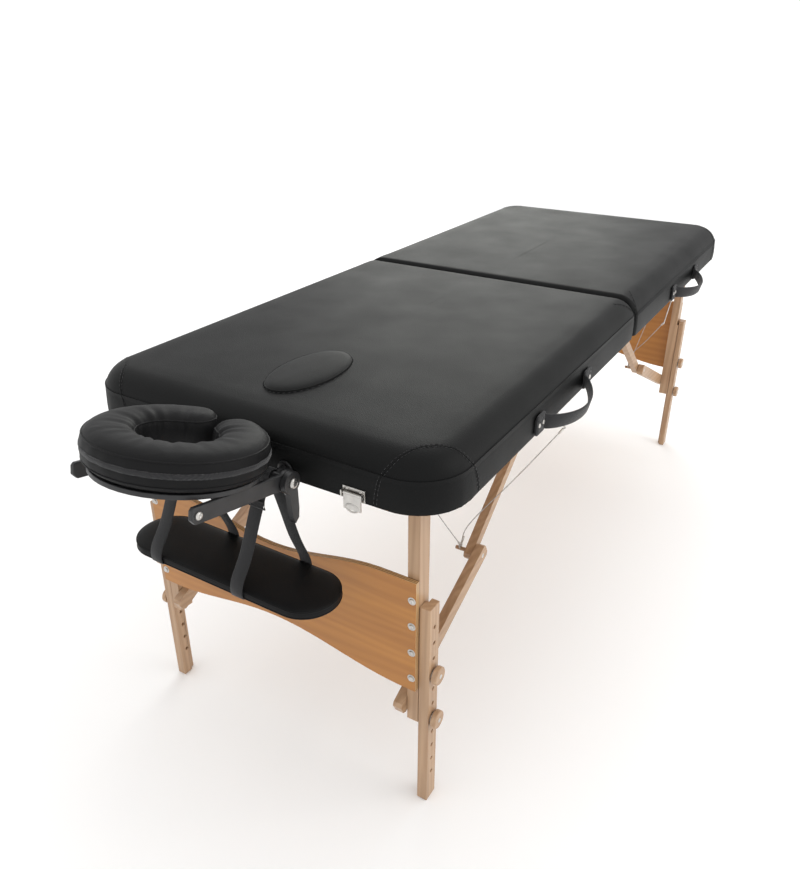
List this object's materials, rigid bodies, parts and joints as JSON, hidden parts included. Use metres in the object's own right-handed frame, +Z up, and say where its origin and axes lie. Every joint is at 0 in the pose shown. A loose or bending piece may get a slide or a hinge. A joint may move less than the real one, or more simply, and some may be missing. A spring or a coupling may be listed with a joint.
{
  "type": "portable massage table",
  "caption": "Folding massage table with wooden legs, padded top, face cradle, hanging arm shelf and carry handles.",
  "frame": {"origin": "on the floor, below the centre hinge, midway between the two long sides of the table top", "axes": "+X towards the foot end, +Y towards the left side, +Z up"},
  "size_m": [2.1057, 0.793, 0.8115],
  "materials": {
    "vinyl": "black grained vinyl over foam, satin",
    "beech": "light beech, satin lacquer",
    "plywood": "orange-brown stained plywood, satin lacquer",
    "steel": "zinc-plated, slightly rough",
    "black_steel": "black powder coat",
    "black_plastic": "fine-textured black plastic",
    "webbing": "black woven polypropylene webbing",
    "cable": "stranded steel wire in clear sleeve"
  },
  "bodies": {
    "table_head": {"head_frame": "beech", "head_pad": "vinyl", "head_hanger_bar": "beech", "head_strut_bar": "beech", "hinge_leaf_head": "steel", "latch_left_base": "steel", "latch_right_base": "steel", "hinge_pin": "steel", "head_leg_rod": "steel"},
    "table_foot": {"foot_frame": "beech", "foot_pad": "vinyl", "foot_hanger_bar": "beech", "foot_strut_bar": "beech", "hinge_leaf_foot": "steel", "foot_leg_rod": "steel"},
    "breath_plug": {"breath_plug": "vinyl"},
    "head_legs": {"head_left_leg": "beech", "head_right_leg": "beech", "head_leg_panel": "plywood"},
    "head_upper_struts": {"head_left_upper_strut": "beech", "head_right_upper_strut": "beech", "head_left_cable": "cable", "head_right_cable": "cable"},
    "head_lower_struts": {"head_left_lower_strut": "beech", "head_right_lower_strut": "beech"},
    "head_right_extension": {"head_right_extension": "beech"},
    "head_right_knob_upper": {"head_right_knob_upper": "beech"},
    "head_right_knob_lower": {"head_right_knob_lower": "beech"},
    "head_left_extension": {"head_left_extension": "beech"},
    "head_left_knob_upper": {"head_left_knob_upper": "beech"},
    "head_left_knob_lower": {"head_left_knob_lower": "beech"},
    "head_handle": {"head_handle": "webbing"},
    "foot_legs": {"foot_left_leg": "beech", "foot_right_leg": "beech", "foot_leg_panel": "plywood"},
    "foot_upper_struts": {"foot_left_upper_strut": "beech", "foot_right_upper_strut": "beech", "foot_left_cable": "cable", "foot_right_cable": "cable"},
    "foot_lower_struts": {"foot_left_lower_strut": "beech", "foot_right_lower_strut": "beech"},
    "foot_right_extension": {"foot_right_extension": "beech"},
    "foot_right_knob_upper": {"foot_right_knob_upper": "beech"},
    "foot_right_knob_lower": {"foot_right_knob_lower": "beech"},
    "foot_left_extension": {"foot_left_extension": "beech"},
    "foot_left_knob_upper": {"foot_left_knob_upper": "beech"},
    "foot_left_knob_lower": {"foot_left_knob_lower": "beech"},
    "foot_handle": {"foot_handle": "webbing"},
    "latch_right_lever": {"latch_right_lever": "steel"},
    "latch_left_lever": {"latch_left_lever": "steel"},
    "cradle_frame": {"cradle_frame": "black_steel"},
    "cradle": {"cradle_arm_left": "black_plastic", "cradle_arm_right": "black_plastic", "cradle_platform": "black_plastic", "face_cushion": "vinyl"},
    "cradle_cam_right": {"cradle_cam_right": "black_plastic"},
    "cradle_cam_left": {"cradle_cam_left": "black_plastic"},
    "arm_shelf": {"arm_shelf": "vinyl", "shelf_strap_left": "webbing", "shelf_strap_right": "webbing"}
  },
  "joints": [
    {"name": "fold", "type": "hinge", "parent": "table_head", "child": "table_foot", "pos_m": [0, 0, 0.6675], "axis": [0, 1, 0], "range_deg": [0, 90]},
    {"name": "breath_plug_lift", "type": "slide", "parent": "table_head", "child": "breath_plug", "axis": [0, 0, 1], "range_m": [0, 0.08]},
    {"name": "head_legs_fold", "type": "hinge", "parent": "table_head", "child": "head_legs", "pos_m": [-0.846, 0, 0.703], "axis": [0, -1, 0], "range_deg": [0, 78]},
    {"name": "head_upper_struts_fold", "type": "hinge", "parent": "table_head", "child": "head_upper_struts", "pos_m": [-0.15431, 0, 0.703], "axis": [0, 1, 0], "range_deg": [0, 39], "deforming": ["head_right_cable", "head_left_cable"]},
    {"name": "head_lower_struts_fold", "type": "hinge", "parent": "head_legs", "child": "head_lower_struts", "pos_m": [-0.846, 0, 0.2358], "axis": [0, -1, 0], "range_deg": [0, 64.57]},
    {"name": "head_right_extension_slide", "type": "slide", "parent": "head_legs", "child": "head_right_extension", "axis": [0, 0, 1], "range_m": [-0.1035, 0.1035]},
    {"name": "head_right_knob_upper_turn", "type": "hinge", "parent": "head_legs", "child": "head_right_knob_upper", "pos_m": [-0.846, -0.3335, 0.3075], "axis": [0, -1, 0], "continuous": true},
    {"name": "head_right_knob_lower_turn", "type": "hinge", "parent": "head_legs", "child": "head_right_knob_lower", "pos_m": [-0.846, -0.3335, 0.204], "axis": [0, -1, 0], "continuous": true},
    {"name": "head_left_extension_slide", "type": "slide", "parent": "head_legs", "child": "head_left_extension", "axis": [0, 0, 1], "range_m": [-0.1035, 0.1035]},
    {"name": "head_left_knob_upper_turn", "type": "hinge", "parent": "head_legs", "child": "head_left_knob_upper", "pos_m": [-0.846, 0.3335, 0.3075], "axis": [0, 1, 0], "continuous": true},
    {"name": "head_left_knob_lower_turn", "type": "hinge", "parent": "head_legs", "child": "head_left_knob_lower", "pos_m": [-0.846, 0.3335, 0.204], "axis": [0, 1, 0], "continuous": true},
    {"name": "head_handle_swing", "type": "hinge", "parent": "table_head", "child": "head_handle", "pos_m": [-0.4565, -0.3765, 0.69], "axis": [1, 0, 0], "range_deg": [-60, 60], "deforming": ["head_handle"]},
    {"name": "foot_legs_fold", "type": "hinge", "parent": "table_foot", "child": "foot_legs", "pos_m": [0.846, 0, 0.703], "axis": [0, 1, 0], "range_deg": [0, 78]},
    {"name": "foot_upper_struts_fold", "type": "hinge", "parent": "table_foot", "child": "foot_upper_struts", "pos_m": [0.15431, 0, 0.703], "axis": [0, -1, 0], "range_deg": [0, 39], "deforming": ["foot_right_cable", "foot_left_cable"]},
    {"name": "foot_lower_struts_fold", "type": "hinge", "parent": "foot_legs", "child": "foot_lower_struts", "pos_m": [0.846, 0, 0.2358], "axis": [0, 1, 0], "range_deg": [0, 64.57]},
    {"name": "foot_right_extension_slide", "type": "slide", "parent": "foot_legs", "child": "foot_right_extension", "axis": [0, 0, 1], "range_m": [-0.1035, 0.1035]},
    {"name": "foot_right_knob_upper_turn", "type": "hinge", "parent": "foot_legs", "child": "foot_right_knob_upper", "pos_m": [0.846, -0.3335, 0.3075], "axis": [0, -1, 0], "continuous": true},
    {"name": "foot_right_knob_lower_turn", "type": "hinge", "parent": "foot_legs", "child": "foot_right_knob_lower", "pos_m": [0.846, -0.3335, 0.204], "axis": [0, -1, 0], "continuous": true},
    {"name": "foot_left_extension_slide", "type": "slide", "parent": "foot_legs", "child": "foot_left_extension", "axis": [0, 0, 1], "range_m": [-0.1035, 0.1035]},
    {"name": "foot_left_knob_upper_turn", "type": "hinge", "parent": "foot_legs", "child": "foot_left_knob_upper", "pos_m": [0.846, 0.3335, 0.3075], "axis": [0, 1, 0], "continuous": true},
    {"name": "foot_left_knob_lower_turn", "type": "hinge", "parent": "foot_legs", "child": "foot_left_knob_lower", "pos_m": [0.846, 0.3335, 0.204], "axis": [0, 1, 0], "continuous": true},
    {"name": "foot_handle_swing", "type": "hinge", "parent": "table_foot", "child": "foot_handle", "pos_m": [0.4565, -0.3765, 0.69], "axis": [1, 0, 0], "range_deg": [-60, 60], "deforming": ["foot_handle"]},
    {"name": "latch_right_lift", "type": "hinge", "parent": "table_head", "child": "latch_right_lever", "pos_m": [-0.9328, -0.226, 0.682], "axis": [0, 1, 0], "range_deg": [0, 100]},
    {"name": "latch_left_lift", "type": "hinge", "parent": "table_head", "child": "latch_left_lever", "pos_m": [-0.9328, 0.226, 0.682], "axis": [0, 1, 0], "range_deg": [0, 100]},
    {"name": "cradle_slide", "type": "slide", "parent": "table_head", "child": "cradle_frame", "axis": [-1, 0, 0], "range_m": [0, 0.1]},
    {"name": "cradle_tilt", "type": "hinge", "parent": "cradle_frame", "child": "cradle", "pos_m": [-0.955, 0, 0.685], "axis": [0, 1, 0], "range_deg": [-30, 2]},
    {"name": "cradle_cam_right_turn", "type": "hinge", "parent": "cradle_frame", "child": "cradle_cam_right", "pos_m": [-0.955, -0.1275, 0.685], "axis": [0, 1, 0], "range_deg": [0, 80]},
    {"name": "cradle_cam_left_turn", "type": "hinge", "parent": "cradle_frame", "child": "cradle_cam_left", "pos_m": [-0.955, 0.1275, 0.685], "axis": [0, 1, 0], "range_deg": [0, 80]},
    {"name": "arm_shelf_swing", "type": "hinge", "parent": "cradle_frame", "child": "arm_shelf", "pos_m": [-0.955, 0, 0.685], "axis": [0, 1, 0], "range_deg": [-6, 10]}
  ],
  "couplings": [
    {"joint": "head_legs_fold", "follows": "fold", "ratio": 0.86667},
    {"joint": "head_upper_struts_fold", "follows": "fold", "ratio": 0.43333},
    {"joint": "head_lower_struts_fold", "follows": "fold", "ratio": 0.7174},
    {"joint": "foot_legs_fold", "follows": "fold", "ratio": 0.86667},
    {"joint": "foot_upper_struts_fold", "follows": "fold", "ratio": 0.43333},
    {"joint": "foot_lower_struts_fold", "follows": "fold", "ratio": 0.7174}
  ]
}
